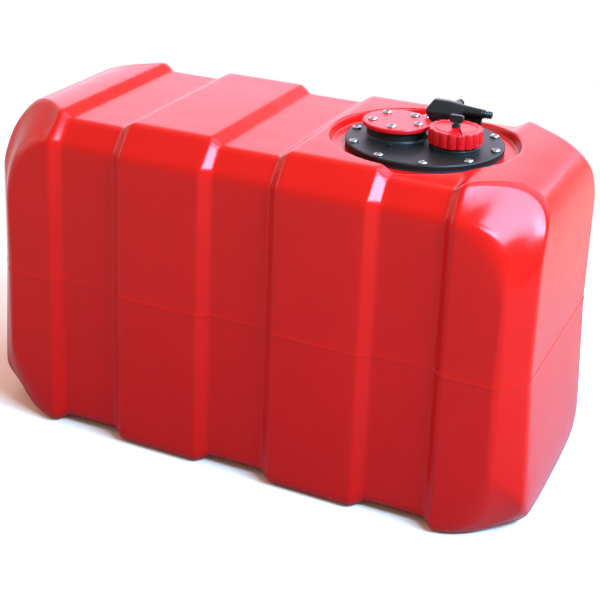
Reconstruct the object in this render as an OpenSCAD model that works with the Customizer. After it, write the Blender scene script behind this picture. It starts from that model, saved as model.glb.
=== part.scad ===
// Fixed fuel tank: a blow-moulded tank with a bolted fittings flange set in a round pocket.
// Millimetres. +Z is up, +X runs along the tank towards the flange end, -Y is the front face.
// The origin is under the middle of the tank, on the plane that it stands on.

/* [Tank body] */
// Length of the tank along X
tank_length = 650; // [600:10:800]
// Width of the tank along Y
tank_width = 300; // [285:5:380]
// Height of the tank along Z
tank_height = 392; // [340:2:450]
// Thickness of the moulded wall
wall = 5; // [4:0.5:6]
// Height of the parting line where the two halves of the mould met
parting_height = 190; // [170:5:210]

/* [End corners] */
// How far the rounding of an end reaches along the tank
corner_long = 81; // [76:1:82]
// How far that rounding reaches down from the top
top_corner = 70; // [60:1:85]
// How far it reaches up from the underside
bottom_corner = 40; // [34:1:60]
// How far the front face is cut back at the top of an end, under its chamfer
top_face_corner = 80; // [60:1:85]
// How far the front face is cut back at the bottom of an end
bottom_face_corner = 82; // [60:1:90]
// How much the chamfer widens towards the middle of a top corner
top_swell = 36; // [20:1:40]
// How much it widens towards the middle of a bottom corner
bottom_swell = 24; // [10:1:30]
// How far the ends lean out below the parting line
end_flare = 9; // [0:1:10]
// Height at which the ends lean out furthest
flare_height = 60; // [50:5:100]

/* [Edges] */
// How far the top chamfer reaches in along Y
top_chamfer_in = 27.5; // [24:0.5:34]
// How far the top chamfer reaches down
top_chamfer_down = 32.5; // [26:0.5:38]
// How far the chamfer at each end reaches along X
end_chamfer_long = 26; // [20:0.5:32]
// How far the chamfer at each end reaches in along Y
end_chamfer_in = 32; // [24:0.5:38]
// Size of the rounded edge under the tank
bottom_edge = 9; // [7:0.5:12]

/* [Stiffening recesses] */
// Distance between the middles of two recesses
recess_pitch = 193.6; // [180:1:200]
// Width of a recess floor
recess_floor = 68; // [56:1:72]
// Width of the slope at each side of a recess
recess_slope = 13; // [10:0.5:15]
// Depth of a recess in the top
recess_top = 9.2; // [6:0.2:10]
// Depth of a recess in the front and back
recess_side = 10; // [6:0.5:12]
// Depth of a recess in the underside
recess_under = 6; // [4:0.5:8]
// How far the chamfer in a recess reaches in from the front face
recess_chamfer_in = 30.5; // [28:0.5:36]
// How far the chamfer in a recess reaches down from the top
recess_chamfer_down = 35; // [32:0.5:42]
// Distance from the middle line to where the recess by the flange starts to drop
notch_start = 96; // [92:1:98]
// Distance from the middle line to where that recess has its full depth
notch_end = 110; // [106:1:112]

/* [Flange pocket] */
// Distance of the middle of the flange from the end of the tank
flange_from_end = 169; // [155:1:185]
// Radius of the pocket at the top of the tank
pocket_radius = 105; // [104:0.5:108]
// Depth of the pocket
pocket_depth = 11; // [10:0.5:12]
// Radius of the opening in the pocket floor
tank_opening = 70; // [68:0.5:72]

/* [Flange] */
// Radius of the flange
flange_radius = 87.5; // [86:0.5:92]
// Thickness of the flange
flange_thick = 5.5; // [4:0.5:8]
// Thickness of the rubber gasket under the flange
gasket_thick = 3; // [2:0.5:4]
// Thickness of the steel backing ring inside the tank
ring_thick = 3; // [2:0.5:5]
// Number of screws round the flange
flange_screw_count = 10; // [8:1:12]
// Radius of the circle that the flange screws stand on
flange_screw_circle = 80.5; // [79.5:0.5:81]
// Depth of the locating lip under the flange
lip_depth = 9; // [6:0.5:12]
// Thickness of the locating lip
lip_thick = 3; // [2:0.5:4]

/* [Screws] */
// Radius of the thread of the machine screws
screw_radius = 2.5; // [2:0.1:2.6]
// Radius of a screw head
screw_head = 5.2; // [4.2:0.1:5.2]
// Height of a screw head
screw_head_height = 3; // [2.4:0.1:3.6]
// Space around a screw in its hole
screw_clearance = 0.3; // [0.1:0.1:0.5]

/* [Level sender seat] */
// Distance of the sender seat from the middle of the flange, towards the middle of the tank
sender_offset = 33.5; // [33:0.5:36]
// Radius of the raised seat
sender_seat_radius = 33; // [32:0.5:34]
// Height of the raised seat above the flange
sender_seat_height = 10.5; // [10:0.5:16]
// Radius of the opening for a level sender
sender_bore = 21; // [18:0.5:22]
// Number of screws that hold the cover
sender_screw_count = 5; // [5:1:5]
// Radius of the circle that the cover screws stand on
sender_screw_circle = 27; // [26.5:0.5:27.5]
// Direction of the first cover screw from +X
sender_screw_turn = -10; // [-20:1:20]
// Radius of the blanking cover
cover_radius = 38; // [36:0.5:38]
// Thickness of the blanking cover
cover_thick = 5; // [3:0.5:6]
// Thickness of the gasket under the cover
cover_gasket_thick = 1.5; // [1:0.5:2]
// Radius of a brass thread insert
insert_radius = 3.6; // [3.4:0.1:4]
// Length of a brass thread insert
insert_length = 9; // [7:0.5:9]
// Length of a cover screw under its head
sender_screw_length = 12; // [11:0.5:13]

/* [Filler neck and cap] */
// Distance of the neck from the middle of the flange, towards the end of the tank
neck_offset = 37.6; // [37:0.5:39]
// Distance of the neck from the middle line, towards the front
neck_front = 10; // [8:0.5:12]
// Outer radius of the neck
neck_radius = 25; // [24:0.5:25]
// Radius of the bore that the fuel goes in by
neck_bore = 20.5; // [19:0.5:21]
// Height of the neck above the flange
neck_height = 16.7; // [15:0.5:18]
// Radius of the collar at the foot of the neck
collar_radius = 27.5; // [27:0.5:28]
// Height of the collar above the flange
collar_height = 4.5; // [3:0.5:5]
// Outer radius of the filler cap
cap_radius = 29.6; // [29:0.2:30]
// Gap between the cap and the neck
cap_clearance = 0.6; // [0.4:0.1:0.8]
// Thickness of the top of the cap
cap_top = 3.5; // [3:0.5:5]
// Gap between the skirt of the cap and the collar
skirt_gap = 2; // [1:0.5:3]
// Number of flutes round the cap
flute_count = 18; // [14:1:22]
// Radius of one flute
flute_radius = 3; // [2.5:0.1:3.2]
// Radius of the ring groove in the top of the cap
cap_groove = 23; // [21:0.5:24]
// Width of the ring groove
cap_groove_width = 1.4; // [0.8:0.1:2]
// Depth of the ring groove
cap_groove_depth = 1.4; // [0.8:0.1:1.6]
// Width of the grip slot across the cap
grip_slot = 8; // [6:0.5:10]
// Depth of the grip slot
grip_slot_depth = 2.2; // [1.6:0.1:2.4]
// Direction of the grip slot from +X
grip_slot_turn = -66; // [-80:1:-50]
// Radius of the hub in the middle of the cap
hub_radius = 6.5; // [6:0.5:8]
// Thickness of the sealing ring in the cap
cap_seal_thick = 2.4; // [2:0.1:3]

/* [Vent screw] */
// Radius of the stem of the vent screw
vent_stem = 3.2; // [3:0.1:3.4]
// Radius of the collar on the vent screw
vent_collar = 4.6; // [4.6:0.1:5.2]
// Width of the finger grip
vent_grip_width = 15.5; // [13:0.5:18]
// Height of the finger grip
vent_grip_height = 8.5; // [8:0.5:12]
// Thickness of the finger grip
vent_grip_thick = 4; // [3:0.5:5]
// Length of the stem between the collar and the grip
vent_neck = 1.5; // [1.5:0.1:4]
// Length of the stem under the top of the cap
vent_tail = 9.5; // [9:0.5:11]
// Thickness of the seal under the vent screw
vent_seal_thick = 1.6; // [1.2:0.1:2]

/* [Pick-up] */
// Distance of the pick-up from the middle of the flange, towards the end of the tank
pickup_offset = 8; // [6:0.5:10]
// Distance of the pick-up from the middle line, towards the back
pickup_back = 40; // [39:0.5:42]
// Length of the body of the pick-up head, without its arm
head_length = 40; // [36:0.5:42]
// Width of the body of the pick-up head
head_width = 24; // [20:0.5:25]
// Height of the top of the body above the flange
head_top = 36; // [34:0.5:38]
// Height of the underside of the body above the flange
head_low = 11; // [8:0.5:14]
// Height of the hose tails above the flange
tail_height = 26.5; // [25:0.5:28]
// Height of the rear hose tail above the front one
rear_tail_rise = 2.5; // [1:0.5:3]
// Distance from the pick-up stem to the end of the arm
arm_reach = 44; // [40:0.5:46]
// Radius of the arm where it leaves the body
arm_root = 7; // [6:0.1:7.5]
// Radius of the arm where the hose tail goes in
arm_end = 5.2; // [5:0.1:6]
// Largest radius of a hose tail, for a hose with an 8 mm bore
tail_radius = 4.4; // [4.2:0.1:5]
// Length of a hose tail outside its seat
tail_length = 10; // [10:0.5:16]
// Radius of the bore in a hose tail
tail_bore = 2.6; // [2.5:0.1:2.8]
// Radius of the way up through the stem
riser = 2.2; // [1.8:0.1:2.4]
// Radius of the foot of the head on the flange
foot_radius = 13; // [12:0.5:13.5]
// Radius of the threaded stem through the flange
stem_radius = 8; // [7:0.5:9]
// Length of the stem under the flange
stem_length = 14; // [12:0.5:18]
// Distance across the flats of the lock nut
nut_flats = 24; // [22:0.5:26]
// Thickness of the lock nut
nut_thick = 6; // [5:0.5:8]
// Thickness of the seal under the head
head_seal_thick = 2; // [1.5:0.5:3]
// Outer radius of the suction tube
tube_radius = 5; // [4.5:0.1:5.5]
// Wall of the suction tube
tube_wall = 1.3; // [1:0.1:1.5]
// Height of the foot of the strainer above the tank's inner floor
strainer_gap = 5; // [3:0.5:10]
// Height of the strainer
strainer_height = 30; // [24:1:40]
// Radius of the strainer
strainer_radius = 9; // [8:0.5:11]

/* [Hidden] */

half_w = tank_width / 2;
flange_x = tank_length / 2 - flange_from_end;
small = 0.01;                   // overlap that keeps a cut open at a face
facets = 72;
pocket_draft = 3;               // how much wider the pocket is at its top than at its floor
bead = 0.9;                     // height of the parting line
bead_half = 2.5;                // half the width of the parting line
crease_soft = 5;                // length over which a crease of the moulding is rounded
edge_soft = 4;                  // the same for the edge under the tank
ring_gap = 2;                   // space from the lip to the backing ring
ring_split = 2;                 // gap between its two halves
lip_gap = 0.8;                  // space round the locating lip
rest_gap = 0.3;                 // between a moving piece and what it rests on
fit_gap = 0.05;                 // round a piece that is screwed or pushed into its seat

pocket_floor = tank_height - pocket_depth;
flange_bottom = pocket_floor + gasket_thick;
flange_top = flange_bottom + flange_thick;
ring_top = pocket_floor - wall;
ring_bottom = ring_top - ring_thick;
lip_radius = tank_opening - lip_gap;
ring_outer = flange_radius - 1;
screw_end = ring_bottom - 3;    // the flange screws stand out under the ring by this much
hole_radius = screw_radius + screw_clearance;

sender_x = flange_x - sender_offset;
seat_top = flange_top + sender_seat_height;
cover_bottom = seat_top + cover_gasket_thick;
cover_top = cover_bottom + cover_thick;

neck_x = flange_x + neck_offset;
neck_y = -neck_front;
neck_top = flange_top + neck_height;
skirt_bottom = flange_top + collar_height + skirt_gap;
seal_bottom = neck_top + rest_gap;
seal_top = seal_bottom + cap_seal_thick;
plate_bottom = seal_top + rest_gap;
cap_height = plate_bottom + cap_top;
vent_seal_bottom = cap_height + rest_gap;
vent_collar_bottom = vent_seal_bottom + vent_seal_thick + rest_gap;
vent_grip_bottom = vent_collar_bottom + 1.5 + vent_neck;
vent_end = plate_bottom - vent_tail;

pickup_x = flange_x + pickup_offset;
head_bottom = flange_top + head_seal_thick;
tail_axis = flange_top + tail_height;
arm_end_x = pickup_x + arm_reach;
head_left_x = pickup_x - head_length / 2;
arm_root_x = head_left_x + head_length;
rear_tail_x = pickup_x + 11;
rear_axis = tail_axis + rear_tail_rise;
rear_stub_y = pickup_back + head_width / 2 - 1;
stem_end = flange_bottom - stem_length;
strainer_bottom = recess_under + wall + strainer_gap;
strainer_top = strainer_bottom + strainer_height;
tube_bottom = strainer_bottom + strainer_height * 0.4;
spigot_radius = tube_radius - tube_wall - fit_gap;
spigot_length = 12;
tail_seat = tail_bore + 1;      // radius of the seat of a hose tail in the head

// Blow-moulded body. Its skin is a grid: sample points run round the outline seen from the front,
// and at each of them a profile runs across from the front face to the back face.

function mix(a, b, t) = a + (b - a) * t;

// Three points that round the corner p1 of a profile
function soften(p0, p1, p2, r) =
    let (a = p1 + (p0 - p1) / norm(p0 - p1) * r, b = p1 + (p2 - p1) / norm(p2 - p1) * r)
    [a, (a + 2 * p1 + b) / 4, b];

// One sample of the outline: the place on the outline, the outward direction there, the
// direction from the face crease to the outline and the distance between them, how far the
// chamfer reaches in, recess depth, recess depth between the notches, recess of the face,
// softening
function sample(place, outward, crease, reach, sink, mid_sink, face, soft) =
    let (down = norm(place - crease))
    [place, outward, (place - crease) / down, down, reach, sink, mid_sink, face, soft];

slope_steps = [[-0.12, 0], [0.14, 0.1], [0.86, 0.9], [1.12, 1]];
recess_places = [-recess_pitch, 0, recess_pitch];

// Places along the tank, each with how far it is sunk and whether the flange pocket is there
function stations() = [
    for (c = recess_places, side = [-1, 1], i = [0:3])
        let (s = slope_steps[side < 0 ? i : 3 - i])
        [c + side * (recess_floor / 2 + recess_slope * (1 - s[0])), s[1], c > 0 ? 0 : 1]];

function top_samples() = [for (s = stations())
    sample([s[0], tank_height], [0, 1],
        [s[0], tank_height - mix(top_chamfer_down, recess_chamfer_down, s[1])],
        mix(top_chamfer_in, recess_chamfer_in, s[1]),
        recess_top * s[1], recess_top * s[1] * s[2], recess_side * s[1], crease_soft)];

function under_samples() = [for (s = stations())
    sample([s[0], 0], [0, -1], [s[0], mix(bottom_edge, bottom_edge + recess_under, s[1])],
        mix(bottom_edge, bottom_edge + recess_side, s[1]),
        recess_under * s[1], recess_under * s[1], recess_side * s[1], edge_soft)];

// Turns at which a corner is sampled, in degrees from the vertical
corner_turns = [3, 12, 23, 34, 45, 56, 67, 78, 90];
outline_full = [0.6, 0.5];      // how square the outline is in a corner: at the top, underneath
crease_full = [0.8, 1.05];      // the same for the edge of the face

// A point of a squared-off quarter round, and the direction square to it
function corner_point(a, along, up, full) = [along * pow(sin(a), full), up * (1 - pow(cos(a), full))];
function corner_normal(a, along, up, full) =
    let (n = [pow(sin(a), 2 - full) / along, pow(max(cos(a), 0), 2 - full) / up]) n / norm(n);

// 0 at both ends of a corner and 1 in its middle
function swell(a) = (sin(a) + cos(a) - 1) / (sqrt(2) - 1);

function corner_samples(side, top) = [for (a = corner_turns) let (t = a / 90,
        start = tank_length / 2 - corner_long, edge = top ? top_chamfer_down : bottom_edge,
        i = top ? 0 : 1, up = top ? -1 : 1, level = top ? tank_height : 0,
        outer = corner_point(a, corner_long, top ? top_corner : bottom_corner, outline_full[i]),
        inner = corner_point(a, corner_long - end_chamfer_long,
            top ? top_face_corner : bottom_face_corner, crease_full[i]),
        n = corner_normal(a, corner_long, top ? top_corner : bottom_corner, outline_full[i]),
        late = top ? t : pow(sin(a), 2.2))
    sample([side * (start + outer[0]), level + up * outer[1]], [side * n[0], -up * n[1]],
        [side * (start + inner[0]), level + up * (edge + inner[1])],
        mix(top ? top_chamfer_in : bottom_edge, end_chamfer_in, late)
            + (top ? top_swell : bottom_swell) * swell(a),
        0, 0, 0, top ? crease_soft : mix(edge_soft, crease_soft, late))];

// The parting line: its upper edge, crest and lower edge
parting = [[bead_half, 0], [0, bead], [-bead_half, 0]];

function end_samples(side) = [for (p = parting) let (z = parting_height + p[0])
    sample([side * tank_length / 2, z], [side, 0], [side * (tank_length / 2 - end_chamfer_long), z],
        end_chamfer_in, -p[1], -p[1], -p[1], crease_soft)];

function reversed(v) = [for (i = [len(v) - 1:-1:0]) v[i]];

// Half a profile, from the face to the middle line, as [depth under the outline, distance from
// the middle line]; skin is how far inside the outer face the surface lies
function half_profile(s, skin) =
    let (turn = skin * tan(22.5),
        on_face = [s[3] + turn - skin, half_w - s[7] - skin],
        on_top = [s[5], half_w - s[4] - turn])
    concat(soften([on_face[0] + 50, on_face[1]], on_face, on_top, s[8]),
        soften(on_face, on_top, [on_top[0], 0], s[8] * 0.8),
        [[s[5], min(notch_end, on_top[1] - s[8])], [s[6], min(notch_start, on_top[1] - 2 * s[8])]]);

// The ends lean out a little below the parting line
function flared(p) =
    let (low = max(0, parting_height - p[2]) / (parting_height - flare_height),
        far = max(0, abs(p[0]) - (tank_length / 2 - end_chamfer_long)) / end_chamfer_long)
    [p[0] + sign(p[0]) * end_flare * min(1, low) * min(1, far), p[1], p[2]];

function section(s, skin) =
    let (half = half_profile(s, skin), base = s[0] - s[1] * skin)
    [for (side = [-1, 1], p = side < 0 ? half : reversed(half))
        let (q = base - s[2] * p[0]) flared([q[0], side * p[1], q[1]])];

module moulded_form(skin) {
    tops = top_samples();
    unders = under_samples();
    k = len(corner_turns);
    n = len(tops);
    ring = concat(tops, corner_samples(1, true), end_samples(1),
        reversed(corner_samples(1, false)), reversed(unders), corner_samples(-1, false),
        reversed(end_samples(-1)), reversed(corner_samples(-1, true)));
    m = len(ring);
    right_end = n + k;
    across = len(section(ring[0], skin));
    // columns of the front and back faces, from the left end to the right end, as ring numbers
    // of the upper and the lower end of each column
    left_top = [for (i = [k - 1:-1:0]) m - 1 - i];
    left_low = [for (i = [k - 1:-1:0]) n + k + 3 + k + n + i];
    mid_top = [for (i = [0:n - 1]) i];
    mid_low = [for (i = [0:n - 1]) n + k + 3 + k + n - 1 - i];
    right_top = [for (i = [0:k - 1]) n + i];
    right_low = [for (i = [0:k - 1]) n + k + 3 + k - 1 - i];
    upper = concat(left_top, mid_top, right_top);
    lower = concat(left_low, mid_low, right_low);
    columns = len(upper);
    skin_points = [for (s = ring) each section(s, skin)];
    // points of the parting line on the faces, three to a column; the outer columns share
    // theirs with the ends, and the ones in the corners are drawn in to keep their order
    start = tank_length / 2 - corner_long;
    drawn_in = (section(ring[right_end], skin)[0][0] - start)
        / (section(ring[right_end - 1], skin)[0][0] - start);
    face_points = [for (side = [-1, 1], c = [1:columns - 2]) let (top = ring[upper[c]],
            x = section(top, skin)[0][0],
            far = max(0, abs(x) - start))
        each [for (b = parting) [x + sign(x) * far * (drawn_in - 1),
            side * (half_w - top[7] - skin + b[1]), parting_height + b[0]]]];
    first_face = m * across;
    left_end = n + k + 3 + k + n + k;
    function edge(i, side) = i * across + (side < 0 ? 0 : across - 1);
    function column(c, side) = concat([edge(upper[c], side)],
        c == 0 ? [for (r = [2:-1:0]) edge(left_end + r, side)]
        : c == columns - 1 ? [for (r = [0:2]) edge(right_end + r, side)]
        : [for (r = [0:2]) first_face + ((side < 0 ? 0 : columns - 2) + c - 1) * 3 + r],
        [edge(lower[c], side)]);
    band = [for (i = [0:m - 1], j = [0:across - 2])
        let (a = i * across + j, b = ((i + 1) % m) * across + j)
        each [[a, a + 1, b + 1], [a, b + 1, b]]];
    front = [for (c = [0:columns - 2], r = [0:3]) let (a = column(c, -1), b = column(c + 1, -1))
        each [[a[r], b[r], b[r + 1]], [a[r], b[r + 1], a[r + 1]]]];
    back = [for (c = [0:columns - 2], r = [0:3]) let (a = column(c, 1), b = column(c + 1, 1))
        each [[a[r], b[r + 1], b[r]], [a[r], a[r + 1], b[r + 1]]]];
    polyhedron(points = concat(skin_points, face_points), faces = concat(band, front, back));
}

module at_flange() { translate([flange_x, 0, 0]) children(); }
module at_sender() { translate([sender_x, 0, 0]) children(); }
module at_neck() { translate([neck_x, neck_y, 0]) children(); }
module at_pickup() { translate([pickup_x, pickup_back, 0]) children(); }

module tube(low, high, outer, inner) {
    translate([0, 0, low]) difference() {
        cylinder(h = high - low, r = outer, $fn = facets);
        translate([0, 0, -small]) cylinder(h = high - low + 2 * small, r = inner, $fn = facets);
    }
}

module flange_hole_ring(low, high, radius) {
    for (i = [0:flange_screw_count - 1]) rotate(360 / flange_screw_count * i)
        translate([flange_screw_circle, 0, low])
            cylinder(h = high - low, r = radius, $fn = 24);
}

module sender_hole_ring(low, high, radius) {
    for (i = [0:sender_screw_count - 1]) rotate(sender_screw_turn + 360 / sender_screw_count * i)
        translate([sender_screw_circle, 0, low])
            cylinder(h = high - low, r = radius, $fn = 24);
}

// The pocket that the flange lies in, as a solid to cut away
module pocket_cut() {
    at_flange() translate([0, 0, pocket_floor])
        cylinder(h = pocket_depth * 2, r1 = pocket_radius - pocket_draft,
            r2 = pocket_radius + pocket_draft, $fn = 96);
}

module tank_body() {
    color("#C4150F") difference() {
        moulded_form(0);
        pocket_cut();
        difference() {
            moulded_form(wall);
            at_flange() translate([0, 0, ring_top])
                cylinder(h = pocket_depth + 2 * wall, r = pocket_radius + wall, $fn = 96);
        }
        at_flange() {
            translate([0, 0, ring_top - wall])
                cylinder(h = pocket_depth + 3 * wall, r = tank_opening, $fn = facets);
            flange_hole_ring(ring_top - wall, tank_height, hole_radius);
        }
    }
}

// The ring is in two halves, so that it goes in through the opening
module backing_ring() {
    color("#B9BDC1") at_flange() difference() {
        tube(ring_bottom, ring_top, ring_outer, tank_opening + ring_gap);
        flange_hole_ring(ring_bottom - small, ring_top + small, screw_radius + fit_gap);
        translate([-ring_split / 2, -tank_width / 2, ring_bottom - small])
            cube([ring_split, tank_width, ring_thick + 2 * small]);
    }
}

module flange_gasket() {
    color("#1B1C1E") at_flange() difference() {
        tube(pocket_floor, flange_bottom, flange_radius - 0.5, tank_opening);
        flange_hole_ring(pocket_floor - small, flange_bottom + small, hole_radius);
    }
}

// The flange is one black moulding: plate, locating lip, sender seat, filler neck and peg
module fittings_flange() {
    plate_edge = 1.2;
    peg_radius = 2.6;
    peg_height = 4.5;
    color("#26282B") difference() {
        union() {
            at_flange() {
                rotate_extrude($fn = 96) polygon([[0, flange_bottom], [flange_radius, flange_bottom],
                    [flange_radius, flange_top - plate_edge], [flange_radius - plate_edge, flange_top],
                    [0, flange_top]]);
                tube(flange_bottom - lip_depth, flange_bottom + small, lip_radius,
                    lip_radius - lip_thick);
            }
            at_sender() rotate_extrude($fn = facets) polygon([[0, flange_top - small],
                [sender_seat_radius + 2, flange_top - small],
                [sender_seat_radius, flange_top + 2], [sender_seat_radius, seat_top],
                [0, seat_top]]);
            at_neck() rotate_extrude($fn = facets) polygon([[0, flange_top - small],
                [collar_radius, flange_top - small], [collar_radius, flange_top + collar_height - 1],
                [collar_radius - 1, flange_top + collar_height],
                [neck_radius, flange_top + collar_height],
                [neck_radius, neck_top - 1], [neck_radius - 1, neck_top], [0, neck_top]]);
            at_flange() rotate(-116) translate([52.5, 0, flange_top - small]) {
                cylinder(h = peg_height - 1, r = peg_radius * 0.7, $fn = 24);
                translate([0, 0, peg_height - 1.6])
                    cylinder(h = 1.6, r = peg_radius, $fn = 24);
            }
        }
        flange_hole_ring_at_flange();
        at_sender() {
            translate([0, 0, flange_bottom - lip_depth])
                cylinder(h = seat_top, r = sender_bore, $fn = facets);
            sender_hole_ring(seat_top - insert_length, seat_top + small, insert_radius + fit_gap);
        }
        at_neck() translate([0, 0, flange_bottom - small])
            cylinder(h = neck_top, r = neck_bore, $fn = facets);
        at_pickup() translate([0, 0, flange_bottom - small])
            cylinder(h = flange_thick * 2, r = stem_radius + 0.2, $fn = 48);
    }
}

module flange_hole_ring_at_flange() {
    at_flange() flange_hole_ring(flange_bottom - small, flange_top + small, hole_radius);
}

// A pan-head machine screw that hangs down from the face it clamps
module pan_screw(length) {
    rotate_extrude($fn = 32) polygon([[0, -length], [screw_radius - 0.5, -length],
        [screw_radius, 0.5 - length], [screw_radius, 0], [screw_head, 0],
        [screw_head, screw_head_height * 0.45], [screw_head * 0.86, screw_head_height * 0.78],
        [screw_head * 0.55, screw_head_height], [0, screw_head_height]]);
}

module flange_screws() {
    color("#D5D8DB") at_flange()
        for (i = [0:flange_screw_count - 1]) rotate(360 / flange_screw_count * i)
            translate([flange_screw_circle, 0, flange_top]) pan_screw(flange_top - screw_end);
}

module thread_inserts() {
    color("#B98A3C") at_sender() difference() {
        sender_hole_ring(seat_top - insert_length, seat_top, insert_radius);
        sender_hole_ring(seat_top - insert_length - small, seat_top + small, screw_radius + fit_gap);
    }
}

module cover_gasket() {
    color("#1B1C1E") at_sender() difference() {
        tube(seat_top, cover_bottom, sender_seat_radius, sender_bore);
        sender_hole_ring(seat_top - small, cover_bottom + small, hole_radius);
    }
}

module sender_cover() {
    edge = 1;
    color("#D3372F") at_sender() difference() {
        rotate_extrude($fn = facets) polygon([[0, cover_bottom], [cover_radius - 0.5, cover_bottom],
            [cover_radius, cover_bottom + 0.5], [cover_radius, cover_top - edge],
            [cover_radius - edge, cover_top], [0, cover_top]]);
        sender_hole_ring(cover_bottom - small, cover_top + small, hole_radius);
    }
}

module cover_screws() {
    color("#D5D8DB") at_sender()
        for (i = [0:sender_screw_count - 1])
            rotate(sender_screw_turn + 360 / sender_screw_count * i)
                translate([sender_screw_circle, 0, cover_top]) pan_screw(sender_screw_length);
}

module cap_seal() {
    color("#1B1C1E") at_neck() tube(seal_bottom, seal_top, neck_radius - 0.2, neck_bore - 1);
}

module filler_cap() {
    shoulder = 2;
    color("#D0201A") at_neck() difference() {
        rotate_extrude($fn = facets) polygon([[0, plate_bottom], [neck_radius + cap_clearance,
            plate_bottom], [neck_radius + cap_clearance, skirt_bottom], [cap_radius - 0.5, skirt_bottom],
            [cap_radius, skirt_bottom + 0.5], [cap_radius, cap_height - shoulder],
            [cap_radius - shoulder * 0.3, cap_height - shoulder * 0.3],
            [cap_radius - shoulder, cap_height], [0, cap_height]]);
        // flutes
        for (i = [0:flute_count - 1]) rotate(360 / flute_count * (i + 0.5))
            translate([cap_radius + flute_radius * 0.62, 0, skirt_bottom - small])
                cylinder(h = cap_height, r = flute_radius, $fn = 24);
        // ring groove, and the grip slot across the top on both sides of the hub
        tube(cap_height - cap_groove_depth, cap_height + 1, cap_groove + cap_groove_width / 2,
            cap_groove - cap_groove_width / 2);
        difference() {
            rotate(grip_slot_turn)
                translate([-cap_radius, -grip_slot / 2, cap_height - grip_slot_depth])
                    cube([2 * cap_radius, grip_slot, cap_top]);
            cylinder(h = cap_height, r = hub_radius, $fn = 48);
        }
        cylinder(h = cap_height + 1, r = vent_stem + 0.35, $fn = 48);
    }
}

module vent_seal() {
    color("#1B1C1E") at_neck()
        tube(vent_seal_bottom, vent_seal_bottom + vent_seal_thick, vent_collar, vent_stem + 0.3);
}

module vent_screw() {
    clip_groove = 0.5;
    grip_top_corner = 2.5;
    grip_low_corner = 4;
    color("#17181A") at_neck() {
        rotate_extrude($fn = 48) polygon([[0, vent_end], [vent_stem - 0.5, vent_end],
            [vent_stem, vent_end + 0.5], [vent_stem, vent_end + 1.6],
            [vent_stem - clip_groove, vent_end + 1.6], [vent_stem - clip_groove, vent_end + 2.8],
            [vent_stem, vent_end + 2.8], [vent_stem, vent_collar_bottom],
            [vent_collar, vent_collar_bottom], [vent_collar, vent_collar_bottom + 1.5],
            [vent_stem, vent_collar_bottom + 1.5], [vent_stem - 0.4, vent_grip_bottom + 1],
            [0, vent_grip_bottom + 1]]);
        translate([0, 0, vent_grip_bottom + vent_grip_height / 2]) rotate([90, 0, 0])
            linear_extrude(vent_grip_thick, center = true) hull()
                for (side = [-1, 1], row = [[grip_top_corner, 1], [grip_low_corner, -1]])
                    translate([side * (vent_grip_width / 2 - row[0]),
                        row[1] * (vent_grip_height / 2 - row[0])]) circle(r = row[0], $fn = 32);
    }
}

// A spring clip in the groove of the vent screw, so that the screw stays with the cap
module vent_clip() {
    clip_outer = 5.4;
    clip_inner = vent_stem - 0.4;
    color("#C8CCD0") at_neck() difference() {
        tube(vent_end + 1.75, vent_end + 2.65, clip_outer, clip_inner);
        translate([0, -1.5, vent_end]) cube([clip_outer + 1, 3, 5]);
    }
}

module head_seal() {
    color("#1B1C1E") at_pickup() tube(flange_top, head_bottom, foot_radius, stem_radius + 0.1);
}

// The pick-up head: a soft-edged block with a sloping top on a round foot. An arm leaves it
// towards the end of the tank, on a web, and a stub towards the back; each ends in a hose tail.
module pickup_head() {
    edge = 3;
    slope = 6;
    web = 5;
    seat_depth = 8;
    inner = head_width / 2 - edge;
    color("#1E2023") difference() {
        union() {
            hull() {
                for (y = [-inner, inner], x = [head_left_x + edge + 6, pickup_x + foot_radius])
                    translate([x, pickup_back + y, flange_top + head_low + edge])
                        sphere(r = edge, $fn = 24);
                for (y = [-inner, inner], x = [head_left_x + edge, arm_root_x - slope])
                    translate([x, pickup_back + y, tail_axis - edge]) sphere(r = edge, $fn = 24);
                for (y = [slope - inner, inner - slope], x = [head_left_x + slope + edge, pickup_x + edge])
                    translate([x, pickup_back + y, flange_top + head_top - edge])
                        sphere(r = edge, $fn = 24);
                translate([arm_root_x, pickup_back, tail_axis]) rotate([0, 90, 0])
                    cylinder(h = edge, r = arm_root, $fn = 32);
            }
            translate([arm_root_x + 1, pickup_back, tail_axis]) rotate([0, 90, 0])
                cylinder(h = arm_end_x - arm_root_x - 1, r1 = arm_root, r2 = arm_end, $fn = 32);
            at_pickup() {
                translate([0, 0, head_bottom])
                    cylinder(h = head_low + edge, r = foot_radius, $fn = 48);
                translate([0, 0, stem_end])
                    cylinder(h = head_bottom - stem_end + small, r = stem_radius, $fn = 48);
                translate([0, 0, stem_end - spigot_length])
                    cylinder(h = spigot_length + small, r = spigot_radius, $fn = 32);
            }
            translate([pickup_x, pickup_back - web / 2, head_bottom])
                cube([arm_end_x - pickup_x - 1, web, tail_axis - head_bottom - 1]);
            translate([rear_tail_x, pickup_back, rear_axis]) rotate([-90, 0, 0])
                cylinder(h = rear_stub_y - pickup_back + 1, r = arm_end + 0.6, $fn = 32);
        }
        // seats of the two hose tails, and the way from the stem to the front one; the one
        // behind ends blind, as it does until somebody needs it for a return line
        translate([arm_end_x - seat_depth, pickup_back, tail_axis]) rotate([0, 90, 0])
            cylinder(h = seat_depth + 1, r = tail_seat, $fn = 32);
        translate([pickup_x - tail_bore, pickup_back, tail_axis]) rotate([0, 90, 0])
            cylinder(h = arm_reach, r = tail_bore, $fn = 32);
        translate([rear_tail_x, rear_stub_y + 1 - seat_depth, rear_axis]) rotate([-90, 0, 0])
            cylinder(h = seat_depth + 1, r = tail_seat, $fn = 32);
        at_pickup() translate([0, 0, stem_end - spigot_length - 1])
            cylinder(h = tail_axis - stem_end + spigot_length + 1, r = riser, $fn = 32);
    }
}

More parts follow.
